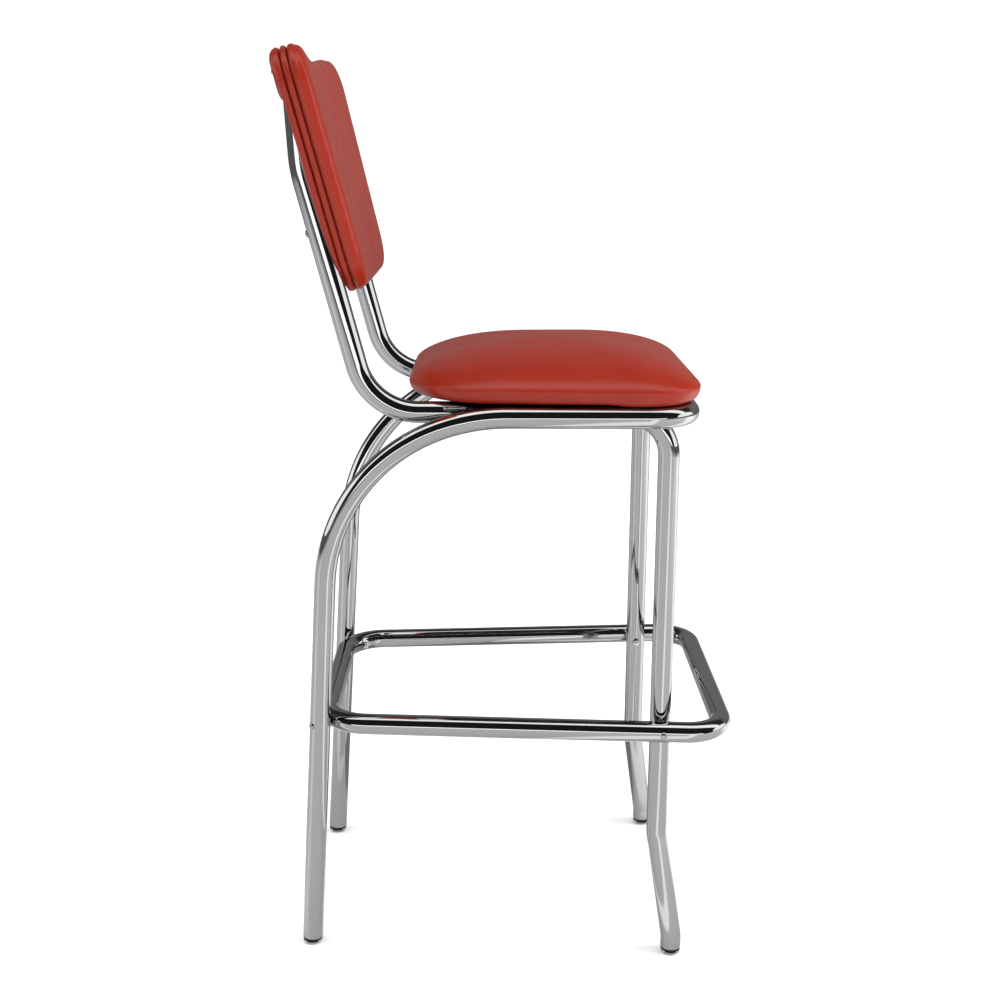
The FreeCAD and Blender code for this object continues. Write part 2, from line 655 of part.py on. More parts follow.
# ---------------------------------------------------------------- glides
rear_axis = hoop_points[1] - hoop_points[0]
rear_axis.normalize()
at_ball = hoop_points[0] - rear_axis * ((tube_end_z - ball_z) / rear_axis.z)
feet = {
    "rear_left": (V(at_ball.x, at_ball.y, 0), hoop_points[0], rear_axis, hoop_outer),
    "front_left": (V(front_foot_x, front_foot_y, 0), side_points[6], V(0, 0, 1), side_outer)}


def glide_base(at):
    """Domed steel foot with a ball socket."""
    profile = [V(0, 0, 0), V(8.0, 0, 0), V(10.6, 0, 0.9), V(12.0, 0, 2.6), V(glide_r, 0, 4.0), V(11.9, 0, 4.7), V(11.2, 0, 5.0),
               V(5.6, 0, 5.0), V(5.3, 0, 6.3), V(0, 0, 6.3), V(0, 0, 0)]
    body = Part.Face(Part.makePolygon(profile)).revolve(V(0, 0, 0), V(0, 0, 1), 360)
    if body.ShapeType != "Solid":
        body = body.Solids[0]
    body = body.cut(Part.makeSphere(socket_r, V(0, 0, ball_z)))
    body.translate(at)
    return body


def glide_stem(at):
    stem = Part.makeSphere(ball_r, V(0, 0, ball_z))
    stem = stem.fuse([Part.makeCylinder(1.8, 6.0, V(0, 0, ball_z)), Part.makeCylinder(2.5, 8.5, V(0, 0, 9.0))]).removeSplitter()
    stem.translate(at)
    return stem


def glide_insert(at, end, axis, tube):
    bore = tube_r - tube_wall - 0.08
    plug_len = 11.0
    plug_in = Part.makeCylinder(bore, plug_len + 3.0, end - axis * 3.0, axis)
    flange = Part.makeCylinder(11.5, 6.0, V(at.x, at.y, 6.0))
    ring_cut = tube.cut(Part.makeCylinder(bore + 0.02, 60.0, end - axis * 10.0, axis))
    body = plug_in.fuse(flange)
    low = Part.makeBox(60, 60, 20, V(at.x - 30, at.y - 30, 6.0 - 20))
    body = body.cut(low)
    body = body.cut(tube.cut(Part.makeCylinder(bore, 80.0, end - axis * 10.0, axis)))
    # above the tube end only the plug inside the bore remains
    body = body.cut(Part.makeCylinder(20, 6.0, end + axis * 0.0, axis).cut(Part.makeCylinder(bore, 6.0, end, axis)))
    body = body.cut(Part.makeCylinder(6.8, 1.6, V(at.x, at.y, 5.9)))
    body = body.cut(Part.makeCylinder(2.55, 11.7, V(at.x, at.y, 5.9)))
    solids = sorted(body.Solids, key=lambda s: s.Volume)
    return solids[-1]


stems, inserts = [], []
for name, (at, end, axis, tube) in feet.items():
    base = glide_base(at)
    write(base, "glide_base_" + name)
    write(mirror(base), "glide_base_" + name.replace("left", "right"))
    stem = glide_stem(at)
    stems += [stem, mirror(stem)]
    ins = glide_insert(at, end, axis, tube)
    inserts += [ins, mirror(ins)]
    print("foot", name, at.x + datum_x, at.y)
write(Part.makeCompound(stems), "glide_stems")
write(Part.makeCompound(inserts), "glide_inserts")

# ---------------------------------------------------------------- report
print("hoop to side tube", hoop_outer.distToShape(side_outer)[0])
print("ring to hoop", ring_outer.distToShape(hoop_outer)[0], "ring to side tube", ring_outer.distToShape(side_outer)[0])
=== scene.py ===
import json
import math

import bpy
import numpy as np
from mathutils import Matrix, Vector


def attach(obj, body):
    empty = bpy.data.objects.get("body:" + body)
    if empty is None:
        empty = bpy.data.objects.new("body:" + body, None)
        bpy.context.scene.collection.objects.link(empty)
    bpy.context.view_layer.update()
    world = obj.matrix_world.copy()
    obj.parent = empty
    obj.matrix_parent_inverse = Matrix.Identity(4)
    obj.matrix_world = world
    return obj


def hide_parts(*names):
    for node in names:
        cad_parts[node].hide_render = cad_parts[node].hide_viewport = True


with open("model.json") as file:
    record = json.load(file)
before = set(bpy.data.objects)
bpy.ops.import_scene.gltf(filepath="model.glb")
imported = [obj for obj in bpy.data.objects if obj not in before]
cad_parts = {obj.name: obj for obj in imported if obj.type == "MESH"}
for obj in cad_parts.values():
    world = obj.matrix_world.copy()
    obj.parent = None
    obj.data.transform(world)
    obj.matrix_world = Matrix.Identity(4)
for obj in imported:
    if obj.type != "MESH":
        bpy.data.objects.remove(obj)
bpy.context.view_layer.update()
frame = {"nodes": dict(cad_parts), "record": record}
nodes = frame["nodes"]
DX = -28.2                      # side-view datum to the origin, mm


# ------------------------------------------------------------------ camera
def make_camera():
    data = bpy.data.cameras.new("camera")
    cam = bpy.data.objects.new("camera", data)
    bpy.context.scene.collection.objects.link(cam)
    data.sensor_width = 36.0
    data.lens = 36.0 * 1389.086 / 1000.0
    right = Vector((0.9999767, -0.0061771, 0.0028934))
    down = Vector((0.0012886, -0.2454791, -0.9694010))
    fwd = Vector((0.0066983, 0.9693822, -0.2454655))
    m = Matrix((
        (right.x, -down.x, -fwd.x, (-0.2207 + DX) / 1000.0),
        (right.y, -down.y, -fwd.y, -1.73497),
        (right.z, -down.z, -fwd.z, 0.98267),
        (0, 0, 0, 1)))
    cam.matrix_world = m
    data.clip_start = 0.05
    data.clip_end = 60.0
    bpy.context.scene.camera = cam
    return cam


camera = make_camera()


# ------------------------------------------------------------------ node helpers
class Nodes:
    """Small helper that builds one node material."""

    def __init__(self, name):
        self.mat = bpy.data.materials.new(name)
        self.mat.use_nodes = True
        self.tree = self.mat.node_tree
        for n in list(self.tree.nodes):
            self.tree.nodes.remove(n)
        self.out = self.add("ShaderNodeOutputMaterial")

    def add(self, kind, **values):
        n = self.tree.nodes.new(kind)
        for k, v in values.items():
            setattr(n, k, v)
        return n

    def link(self, a, b):
        self.tree.links.new(a, b)

    def coords(self):
        return self.add("ShaderNodeTexCoord").outputs["Object"]

    def noise(self, scale, detail=2.0, rough=0.5, vec=None, stretch=None):
        n = self.add("ShaderNodeTexNoise")
        n.inputs["Scale"].default_value = scale
        n.inputs["Detail"].default_value = detail
        n.inputs["Roughness"].default_value = rough
        src = vec or self.coords()
        if stretch:
            m = self.add("ShaderNodeMapping")
            m.inputs["Scale"].default_value = stretch
            self.link(src, m.inputs["Vector"])
            src = m.outputs["Vector"]
        self.link(src, n.inputs["Vector"])
        return n.outputs["Fac"]

    def voronoi(self, scale, feature="F1", vec=None, rand=1.0):
        n = self.add("ShaderNodeTexVoronoi", feature=feature)
        n.inputs["Scale"].default_value = scale
        n.inputs["Randomness"].default_value = rand
        self.link(vec or self.coords(), n.inputs["Vector"])
        return n.outputs["Distance"]

    def ramp(self, fac, stops):
        n = self.add("ShaderNodeValToRGB")
        e = n.color_ramp.elements
        while len(e) > 1:
            e.remove(e[-1])
        e[0].position, e[0].color = stops[0][0], stops[0][1]
        for p, c in stops[1:]:
            x = e.new(p)
            x.color = c
        self.link(fac, n.inputs["Fac"])
        return n.outputs["Color"]

    def span(self, fac, lo, hi, a=0.0, b=1.0):
        n = self.add("ShaderNodeMapRange")
        n.inputs["From Min"].default_value = a
        n.inputs["From Max"].default_value = b
        n.inputs["To Min"].default_value = lo
        n.inputs["To Max"].default_value = hi
        self.link(fac, n.inputs["Value"])
        return n.outputs["Result"]

    def math(self, op, a, b):
        n = self.add("ShaderNodeMath", operation=op)
        for i, x in enumerate((a, b)):
            if isinstance(x, (int, float)):
                n.inputs[i].default_value = x
            else:
                self.link(x, n.inputs[i])
        return n.outputs[0]

    def bump(self, height, strength, distance, normal=None):
        n = self.add("ShaderNodeBump")
        n.inputs["Strength"].default_value = strength
        n.inputs["Distance"].default_value = distance
        self.link(height, n.inputs["Height"])
        if normal:
            self.link(normal, n.inputs["Normal"])
        return n.outputs["Normal"]

    def shader(self, base=None, rough=None, normal=None, **fixed):
        p = self.add("ShaderNodeBsdfPrincipled")
        for k, v in fixed.items():
            p.inputs[k.replace("_", " ")].default_value = v
        for key, v in (("Base Color", base), ("Roughness", rough), ("Normal", normal)):
            if v is None:
                continue
            if hasattr(v, "is_linked") or hasattr(v, "links"):
                self.link(v, p.inputs[key])
            else:
                p.inputs[key].default_value = v
        self.link(p.outputs[0], self.out.inputs["Surface"])
        return p


def grey(v, a=1.0):
    return (v, v, v, a)


def chrome(name, tone=0.44, rough=0.035, ripple=0.0):
    m = Nodes(name)
    haze = m.noise(9.0, 3.0, 0.6)
    fine = m.noise(420.0, 2.0, 0.6)
    scuff = m.noise(60.0, 4.0, 0.7, stretch=(1.0, 1.0, 0.25))
    base = m.ramp(haze, [(0.3, (tone * 0.965, tone * 0.97, tone * 0.985, 1)), (0.7, (tone * 1.02, tone * 1.02, tone * 1.025, 1))])
    rg = m.span(scuff, rough * 0.7, rough * 1.6, 0.35, 0.75)
    nrm = m.bump(fine, 0.015 + ripple, 0.0004)
    if ripple:
        nrm = m.bump(m.noise(900.0, 1.0, 0.5, stretch=(3.0, 0.4, 0.4)), ripple, 0.0012, nrm)
    m.shader(base, rg, nrm, Metallic=1.0)
    return m.mat


def vinyl(name, deep=(0.232, 0.0125, 0.0030), lit=(0.258, 0.0150, 0.0040), rough=0.31):
    """Upholstery vinyl: a fine leather-like grain, slight clouding and a soft sheen."""
    m = Nodes(name)
    cloud = m.noise(9.0, 4.0, 0.55)
    base = m.ramp(cloud, [(0.3, (*deep, 1)), (0.7, (*lit, 1))])
    grain = m.noise(210.0, 1.0, 0.5)
    pebble = m.noise(380.0, 0.5, 0.5)
    wave = m.noise(24.0, 2.0, 0.5)
    h = m.math("ADD", m.math("MULTIPLY", grain, 0.7), m.math("MULTIPLY", pebble, 0.4))
    n1 = m.bump(wave, 0.03, 0.004)
    n2 = m.bump(h, 0.02, 0.0005, n1)
    rg = m.span(m.noise(45.0, 3.0, 0.6), rough * 0.9, rough * 1.15, 0.3, 0.7)
    p = m.shader(base, rg, n2)
    p.inputs["IOR"].default_value = 1.48
    p.inputs["Specular IOR Level"].default_value = 0.36
    p.inputs["Sheen Weight"].default_value = 0.02
    p.inputs["Sheen Roughness"].default_value = 0.4
    p.inputs["Sheen Tint"].default_value = (1.0, 0.72, 0.66, 1)
    return m.mat


def steel(name, tone=0.42):
    m = Nodes(name)
    brush = m.noise(300.0, 3.0, 0.7, stretch=(0.1, 1.0, 1.0))
    base = m.ramp(brush, [(0.3, (tone * 0.85, tone * 0.87, tone * 0.9, 1)), (0.7, (tone * 1.1, tone * 1.1, tone * 1.08, 1))])
    m.shader(base, m.span(m.noise(80.0, 3.0), 0.28, 0.45), m.bump(brush, 0.05, 0.0003), Metallic=1.0)
    return m.mat


def paint(name, tone=0.018):
    m = Nodes(name)
    base = m.ramp(m.noise(30.0, 4.0), [(0.3, grey(tone * 0.8)), (0.7, grey(tone * 1.4))])
    peel = m.noise(700.0, 2.0)
    m.shader(base, m.span(m.noise(50.0, 3.0), 0.32, 0.5), m.bump(peel, 0.1, 0.0003))
    return m.mat


def plastic(name, tone=0.012):
    m = Nodes(name)
    base = m.ramp(m.noise(60.0, 3.0), [(0.3, grey(tone * 0.8)), (0.7, grey(tone * 1.5))])
    m.shader(base, m.span(m.noise(90.0, 3.0), 0.42, 0.6), m.bump(m.noise(1800.0, 2.0), 0.08, 0.0002))
    return m.mat


def plywood(name):
    m = Nodes(name)
    rings = m.noise(14.0, 5.0, 0.65, stretch=(0.35, 4.0, 4.0))
    base = m.ramp(rings, [(0.25, (0.36, 0.23, 0.12, 1)), (0.5, (0.56, 0.39, 0.22, 1)), (0.75, (0.66, 0.49, 0.30, 1))])
    fibre = m.noise(220.0, 3.0, 0.7, stretch=(0.08, 1.0, 1.0))
    m.shader(base, m.span(fibre, 0.5, 0.75), m.bump(fibre, 0.2, 0.0005))
    return m.mat


def foam(name):
    m = Nodes(name)
    cell = m.voronoi(700.0)
    base = m.ramp(cell, [(0.0, (0.42, 0.36, 0.22, 1)), (0.5, (0.80, 0.73, 0.52, 1))])
    m.shader(base, 0.92, m.bump(cell, 0.6, 0.0008))
    return m.mat


def cloth(name, tone=0.014):
    m = Nodes(name)
    wave = m.add("ShaderNodeTexWave", wave_type="BANDS", bands_direction="X")
    wave.inputs["Scale"].default_value = 420.0
    m.link(m.coords(), wave.inputs["Vector"])
    other = m.add("ShaderNodeTexWave", wave_type="BANDS", bands_direction="Y")
    other.inputs["Scale"].default_value = 420.0
    m.link(m.coords(), other.inputs["Vector"])
    h = m.math("ADD", wave.outputs["Fac"], other.outputs["Fac"])
    base = m.ramp(m.noise(40.0, 4.0), [(0.3, grey(tone * 0.7)), (0.7, grey(tone * 1.8))])
    m.shader(base, 0.9, m.bump(h, 0.3, 0.0004))
    return m.mat


mat_tube = chrome("chrome tube")
mat_hardware = chrome("chrome hardware", 0.46, 0.06)
mat_weld = chrome("chromed weld", 0.42, 0.09, 0.5)
mat_vinyl = vinyl("red vinyl")
mat_zinc = steel("zinc steel")
mat_strap = paint("black paint")
mat_plastic = plastic("black plastic")
mat_ply = plywood("plywood")
mat_foam = foam("foam")
# black dust cloth for the fabric parts, also used on the seat's turned-under edge as painted shade of the gap under
# the cushion
mat_cloth_and_gap_shade = cloth("dust cloth and gap shade")

by_slot = {
    "chrome_tube": mat_tube, "chrome_hardware": mat_hardware, "zinc_steel": mat_zinc, "weld_steel": mat_weld,
    "painted_strap": mat_strap, "red_vinyl": mat_vinyl, "plywood": mat_ply, "foam": mat_foam,
    "black_fabric": mat_cloth_and_gap_shade, "black_plastic": mat_plastic}
for sub in frame["record"]["subparts"]:
    ob = nodes[sub["node"]]
    ob.data.materials.clear()
    ob.data.materials.append(by_slot[sub["material_slot"]])


# ------------------------------------------------------------------ mesh helpers
def add_mesh(name, verts, faces, mat, normals=None):
    me = bpy.data.meshes.new(name)
    me.from_pydata([tuple(v) for v in verts], [], faces)
    me.update()
    ob = bpy.data.objects.new(name, me)
    bpy.context.scene.collection.objects.link(ob)
    me.materials.append(mat)
    me.polygons.foreach_set("use_smooth", [True] * len(me.polygons))
    if normals is not None:
        me.normals_split_custom_set_from_vertices([tuple(n) for n in normals])
    return ob


def unit(v):
    return v / np.linalg.norm(v)


def setback(a, b, c, r):
    u, w = unit(a - b), unit(c - b)
    inner = math.acos(max(-1.0, min(1.0, float(u @ w))))
    return r / math.tan(inner / 2.0)


def rounded(points, cuts, closed=False, step=1.6):
    """Points and tangents along a line with tangent arcs at its corners."""
    n = len(points)
    order = range(n) if closed else range(1, n - 1)
    out = []
    if not closed:
        out.append((points[0], unit(points[1] - points[0])))
    for k, i in enumerate(order):
        a, b, c = points[(i - 1) % n], points[i], points[(i + 1) % n]
        u, w = unit(a - b), unit(c - b)
        ang = math.acos(max(-1.0, min(1.0, float(u @ w))))
        t = cuts[k]
        bis = unit(u + w)
        centre = b + bis * (t / math.cos(ang / 2.0))
        r = t * math.tan(ang / 2.0)
        turn = math.pi - ang
        e0 = unit(b + u * t - centre)
        e1 = -u
        m = max(2, int(math.degrees(turn) / step) + 1)
        for j in range(m + 1):
            s = turn * j / m
            p = centre + (e0 * math.cos(s) + e1 * math.sin(s)) * r
            d = -e0 * math.sin(s) + e1 * math.cos(s)
            if out and np.linalg.norm(out[-1][0] - p) < 0.02:
                continue
            out.append((p, unit(d)))
    if not closed:
        out.append((points[-1], unit(points[-1] - points[-2])))
    return out


def tube(name, line, r, mat, closed=False, ends=(False, False), seg=72):
    """Round tube along the line, in millimetres, with exact normals."""
    pts = [np.array(p, float) for p, _ in line]
    tan = [np.array(d, float) for _, d in line]
    if closed:
        pts.append(pts[0])
        tan.append(tan[0])
    # denser stations on long straight runs
    p2, t2 = [pts[0]], [tan[0]]
    for i in range(1, len(pts)):
        gap = np.linalg.norm(pts[i] - pts[i - 1])
        k = int(gap // 40.0)
        for j in range(1, k + 1):
            f = j / (k + 1.0)
            p2.append(pts[i - 1] * (1 - f) + pts[i] * f)
            t2.append(tan[i])
        p2.append(pts[i])
        t2.append(tan[i])
    side = unit(np.cross(t2[0], [0.0, 0.0, 1.0]) if abs(t2[0][2]) < 0.9 else np.cross(t2[0], [0.0, 1.0, 0.0]))
    verts, norms, faces = [], [], []
    angles = np.linspace(0, 2 * math.pi, seg, endpoint=False)

    def ring(centre, d, s, radius, nr, na):
        o = np.cross(d, s)
        for a in angles:
            rad = s * math.cos(a) + o * math.sin(a)
            verts.append((centre + rad * radius) / 1000.0)
            norms.append(unit(rad * nr + d * na))

    def join(i, j):
        for k in range(seg):
            k2 = (k + 1) % seg
            faces.append((i + k, i + k2, j + k2, j + k))

    starts = []
    s = side
    frames = []
    for i, (p, d) in enumerate(zip(p2, t2)):
        s = unit(s - d * float(s @ d))
        frames.append((p, d, s))
    for p, d, s in frames:
        starts.append(len(verts))
        ring(p, d, s, r, 1.0, 0.0)
    for i in range(len(starts) - 1):
        join(starts[i], starts[i + 1])
    for at_end, wanted in ((0, ends[0]), (-1, ends[1])):
        if not wanted:
            continue
        p, d, s = frames[at_end]
        sgn = 1.0 if at_end == -1 else -1.0
        last = starts[at_end]
        rows = [(r - 0.45 + 0.45 * math.cos(q), 0.45 * math.sin(q), math.cos(q), math.sin(q)) for q in (0.4, 0.8, 1.2, math.pi / 2)]
        rows += [(r - 1.5, 0.45, 0.0, 1.0), (r - 1.5, 0.45, -1.0, 0.0), (r - 1.5, -14.0, -1.0, 0.0)]
        for rad, off, nr, na in rows:
            now = len(verts)
            ring(p + d * sgn * off, d, s, rad, nr, na * sgn)
            if at_end == -1:
                join(last, now)
            else:
                join(now, last)
            last = now
    return add_mesh(name, verts, faces, mat, norms)


def P(x, y, z):
    return np.array([x + DX, y, z], float)


def mirrored(line):
    return [(np.array([p[0], -p[1], p[2]]), np.array([d[0], -d[1], d[2]])) for p, d in line]


# ------------------------------------------------------------------ the four tubes
tube_r = 12.7
end_z = 8.6
leg_x, leg_y, slope, plan = -208.5, 151.9, 0.0615, math.radians(8.0)
arc_r, rail_z, rail_y = 219.0, 685.0, 177.3
lean = math.atan(slope)
arc_zc = rail_z - arc_r
arc_sc = slope * (arc_zc - 300.0) + arc_r / math.cos(lean)


def plan_point(s, z):
    y = leg_y + s * math.sin(plan)
    if y <= rail_y:
        return P(leg_x + s * math.cos(plan), y, z)
    turn = (rail_y - leg_y) / math.sin(plan)
    return P(leg_x + turn * math.cos(plan) + (s - turn), rail_y, z)


pieces = 8
step = (math.pi / 2.0 - lean) / pieces
arc = []
for k in range(pieces):
    phi = math.pi - lean - step * (k + 0.5)
    rad = arc_r / math.cos(step / 2.0)
    arc.append(plan_point(arc_sc + rad * math.cos(phi), arc_zc + rad * math.sin(phi)))
cuts = [np.linalg.norm(arc[1] - arc[0]) / 2.0]
for k in range(1, pieces):
    cuts.append(np.linalg.norm(arc[k] - arc[k - 1]) - cuts[-1])
half = [plan_point(slope * (end_z + 0.45 - 300.0), end_z + 0.45)] + arc + [P(232.0, rail_y, rail_z)]
whole = half + [np.array([p[0], -p[1], p[2]]) for p in reversed(half)]
hoop_line = rounded(whole, cuts + [50.8, 50.8] + list(reversed(cuts)))
hoop = tube("hoop_tube_polished", hoop_line, tube_r, mat_tube, ends=(True, True))
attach(hoop, "stool_frame")
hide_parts("seat_hoop_tube")

side_y, side_z = 151.0, 686.5
bend_x = -169.8 - 0.2612 * 160.0
rear_x = -169.8 - 0.2612 * (side_z - 800.0)
top_x = bend_x - 0.055 * 90.0
side_pts = [P(top_x, side_y, 1050.0), P(bend_x, side_y, 960.0), P(rear_x, side_y, side_z), P(207.9, side_y, side_z),
            P(207.9, side_y, 152.0), P(227.0, 174.0, 23.5), P(227.0, 174.0, end_z + 0.45)]
radii = [150.0, 72.7, 52.0, 40.0, 30.0]
side_cuts = [setback(side_pts[i], side_pts[i + 1], side_pts[i + 2], radii[i]) for i in range(5)]
side_line = rounded(side_pts, side_cuts)
for label, line in (("left", side_line), ("right", mirrored(side_line))):
    t = tube("side_tube_polished_" + label, line, tube_r, mat_tube, ends=(False, True))
    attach(t, "stool_frame")
    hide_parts("side_tube_" + label)


def ring_y(x):
    return 163.1 + 0.0655 * x


norm = math.sqrt(1.0 + 0.0655 ** 2)
lo, hi = 30.0, 80.0
for _ in range(50):
    r = (lo + hi) / 2.0
    yc = ring_y(-203.0 + r) - r * norm
    if math.hypot(leg_x + 203.0 - r, leg_y - yc) - r > 2 * tube_r + 0.25:
        hi = r
    else:
        lo = r
ring_pts = [P(284.2, -ring_y(284.2), 299.2), P(284.2, ring_y(284.2), 299.2), P(-203.0, ring_y(-203.0), 299.2), P(-203.0, -ring_y(-203.0), 299.2)]
ring_r = [45.0, 45.0, lo, lo]
ring_cuts = [setback(ring_pts[i - 1], ring_pts[i], ring_pts[(i + 1) % 4], ring_r[i]) for i in range(4)]
foot = tube("footrest_polished", rounded(ring_pts, ring_cuts, True), tube_r, mat_tube, closed=True)
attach(foot, "stool_frame")
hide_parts("footrest_ring")


# ------------------------------------------------------------------ outlines
def round_outline(corners, rads, count):
    """Evenly spaced points and outward normals round a closed outline in 2-D."""
    n = len(corners)
    pts = [np.array([x, y, 0.0]) for x, y in corners]
    cts = [setback(pts[i - 1], pts[i], pts[(i + 1) % n], rads[i]) for i in range(n)]
    line = rounded(pts, cts, True, step=1.0)
    p = np.array([q[0][:2] for q in line])
    p = np.vstack([p, p[:1]])
    seglen = np.linalg.norm(np.diff(p, axis=0), axis=1)
    s = np.concatenate([[0.0], np.cumsum(seglen)])
    want = np.linspace(0, s[-1], count, endpoint=False)
    x = np.interp(want, s, p[:, 0])
    y = np.interp(want, s, p[:, 1])
    q = np.stack([x, y], 1)
    t = np.roll(q, -1, 0) - np.roll(q, 1, 0)
    t /= np.linalg.norm(t, axis=1)[:, None]
    area = 0.5 * np.sum(q[:, 0] * np.roll(q[:, 1], -1) - np.roll(q[:, 0], -1) * q[:, 1])
    nrm = np.stack([t[:, 1], -t[:, 0]], 1) * (1.0 if area > 0 else -1.0)
    return q, nrm


def stack(rows, close_first=False, close_last=False):
    """Faces of a stack of closed rings given as arrays of equal length."""
    verts, faces = [], []
    m = len(rows[0])
    for row in rows:
        verts.extend(row.tolist())
    for i in range(len(rows) - 1):
        a, b = i * m, (i + 1) * m
        for k in range(m):
            k2 = (k + 1) % m
            faces.append((a + k, a + k2, b + k2, b + k))
    if close_first:
        c = len(verts)
        verts.append(np.mean(rows[0], axis=0).tolist())
        for k in range(m):
            faces.append((c, (k + 1) % m, k))
    if close_last:
        c = len(verts)
        verts.append(np.mean(rows[-1], axis=0).tolist())
        a = (len(rows) - 1) * m
        for k in range(m):
            faces.append((c, a + k, a + (k + 1) % m))
    return verts, faces


rng = np.random.default_rng(7)


def soft_noise(x, y, seed, scale):
    """Smooth low-frequency wobble of a few sine waves."""
    g = np.random.default_rng(seed)
    total = np.zeros_like(x)
    for _ in range(7):
        a, b, ph = g.normal(0, 1.0 / scale), g.normal(0, 1.0 / scale), g.uniform(0, 6.28)
        total += np.sin(x * a + y * b + ph)
    return total / 7.0


# ------------------------------------------------------------------ seat cushion
def make_seat():
    xf, xr, wf, wr = 246.0, -98.0, 190.0, 179.0
    mid = (xf + xr) / 2.0
    base, nrm = round_outline([(xf, -wf), (xf, wf), (xr, wr), (xr, -wr)], [68.0, 68.0, 100.0, 100.0], 360)
    centre = np.array([mid, 0.0])
    zs, ztop, zlow = 715.0, 758.0, 700.1
    rows = []

    def row(k, z, drop=0.0):
        q = centre + (base - centre) * k - nrm * drop
        x, y = q[:, 0], q[:, 1]
        # towards the front the lower edge rests on the rail
        rest = np.clip((base[:, 0] - 128.0) / 34.0, 0, 1)
        rest = rest * rest * (3 - 2 * rest) * 2.3
        zz = z - rest * np.clip((zs - z) / 15.0, 0, 1)
        rows.append(np.stack([(x + DX) / 1000.0, y / 1000.0, zz / 1000.0], 1))

    # folded edge under the board, then the side, then the crown
    row(0.72, zlow + 0.5)
    row(0.90, zlow + 0.1)
    soft = 1.0 + 1.5 * np.clip((mid - base[:, 0]) / 172.0, 0, 1) ** 1.5 + 1.1 * np.clip((base[:, 0] - mid) / 172.0, 0, 1) ** 5
    for d, h in ((9.6, 0.0), (7.2, 0.1), (5.0, 0.6), (3.3, 1.8), (1.9, 3.7), (0.9, 6.4), (0.3, 9.8), (0.05, 12.8), (0.0, 15.0)):
        row(1.0, zlow + h, (d * soft)[:, None])
    ks = [0.9975, 0.994, 0.989, 0.982, 0.973, 0.962, 0.948, 0.932, 0.914, 0.893, 0.87, 0.845, 0.818, 0.79, 0.76, 0.73, 0.70, 0.67, 0.64,
          0.61, 0.58, 0.55, 0.52, 0.49, 0.46, 0.43, 0.40, 0.37, 0.34, 0.31, 0.28, 0.25, 0.22, 0.19, 0.16, 0.13, 0.10, 0.07, 0.04]
    for k in ks:
        q = centre + (base - centre) * k
        z = zs + (ztop - zs) * (1.0 - k ** 2.15) ** (1.0 / 1.54)
        wob = soft_noise(q[:, 0], q[:, 1], 3, 60.0) * 0.4 * min(1.0, (1.0 - k) * 8.0)
        row(k, z + wob)
    verts, faces = stack(rows, False, True)
    ob = add_mesh("seat_cushion", verts, faces, mat_vinyl)
    # the turned-under edge gets the black dust cloth, a dark band that paints the shade in the gap between cushion
    # and rail
    ob.data.materials.append(mat_cloth_and_gap_shade)
    for p in ob.data.polygons[:4 * len(base)]:
        p.material_index = 1
    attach(ob, "stool_frame")
    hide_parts("seat_cover", "seat_foam")
    return ob


seat = make_seat()

# ------------------------------------------------------------------ back pad
pad_lean = math.atan(0.2612)
PU = np.array([-math.sin(pad_lean), 0.0, math.cos(pad_lean)])
PN = np.array([math.cos(pad_lean), 0.0, math.sin(pad_lean)])


def pad_world(a, b, c):
    """Pad coordinates in mm (across, up along the pad, forward) to metres."""
    a, b, c = np.broadcast_arrays(np.asarray(a, float), np.asarray(b, float), np.asarray(c, float))
    x = PU[0] * (b + 975.0) + PN[0] * c + DX
    z = PU[2] * (b + 975.0) + PN[2] * c
    return np.stack([x, a, z], 1) / 1000.0


def pad_outline(count=420):
    top_b, bot_b, top_w, bot_w = 138.0, -137.0, 191.0, 158.0
    q, n = round_outline([(top_w, top_b), (-top_w, top_b), (-bot_w, bot_b), (bot_w, bot_b)], [42.0, 42.0, 46.0, 46.0], count)
    a, b = q[:, 0], q[:, 1]
    # the top edge dips and the bottom edge sags a little between the corners
    up = np.clip((b - (top_b - 45.0)) / 45.0, 0, 1) ** 2
    lowf = np.clip(((bot_b + 50.0) - b) / 50.0, 0, 1) ** 2
    b = b - 4.6 * up * (1 + np.cos(math.pi * np.clip(np.abs(a) / 168.0, 0, 1))) - 4.5 * lowf * (1 - (a / bot_w) ** 2)
    q = np.stack([a, b], 1)
    t = np.roll(q, -1, 0) - np.roll(q, 1, 0)
    t /= np.linalg.norm(t, axis=1)[:, None]
    area = 0.5 * np.sum(q[:, 0] * np.roll(q[:, 1], -1) - np.roll(q[:, 0], -1) * q[:, 1])
    n = np.stack([t[:, 1], -t[:, 0]], 1) * (1.0 if area > 0 else -1.0)
    return q, n


pad_q, pad_n = pad_outline()
pad_mid = np.array([0.0, 0.0])


def curve_of(a, amount):
    return -amount * (1.0 - np.clip(np.abs(a) / 191.0, 0, 1) ** 2)


def pad_rows(profile, amount, shape=None):
    """Rings of a pad layer: (inset, c) near the rim, (scale, c) further in."""
    rows = []
    for kind, d, c in profile:
        if kind == "in":
            q = pad_q - pad_n * d
        else:
            q = pad_mid + (pad_q - pad_n * 14.0 - pad_mid) * d
        a, b = q[:, 0], q[:, 1]
        cc = c + curve_of(a, amount(c) if callable(amount) else amount)
        if shape:
            cc = shape(a, b, cc)
        rows.append(pad_world(a, b, cc))
    return rows


def tube_c(b):
    """Centre line of the upright in pad coordinates."""
    b0 = 7.3
    c0 = 37.9
    t = np.clip(b - (b0 - 15.0), 0, None)
    # a soft knee about the bend
    return np.where(b < b0 - 15.0, c0, np.where(b < b0 + 15.0, c0 + t * t / 60.0 * 0.2053, c0 + (b - b0) * 0.2053))


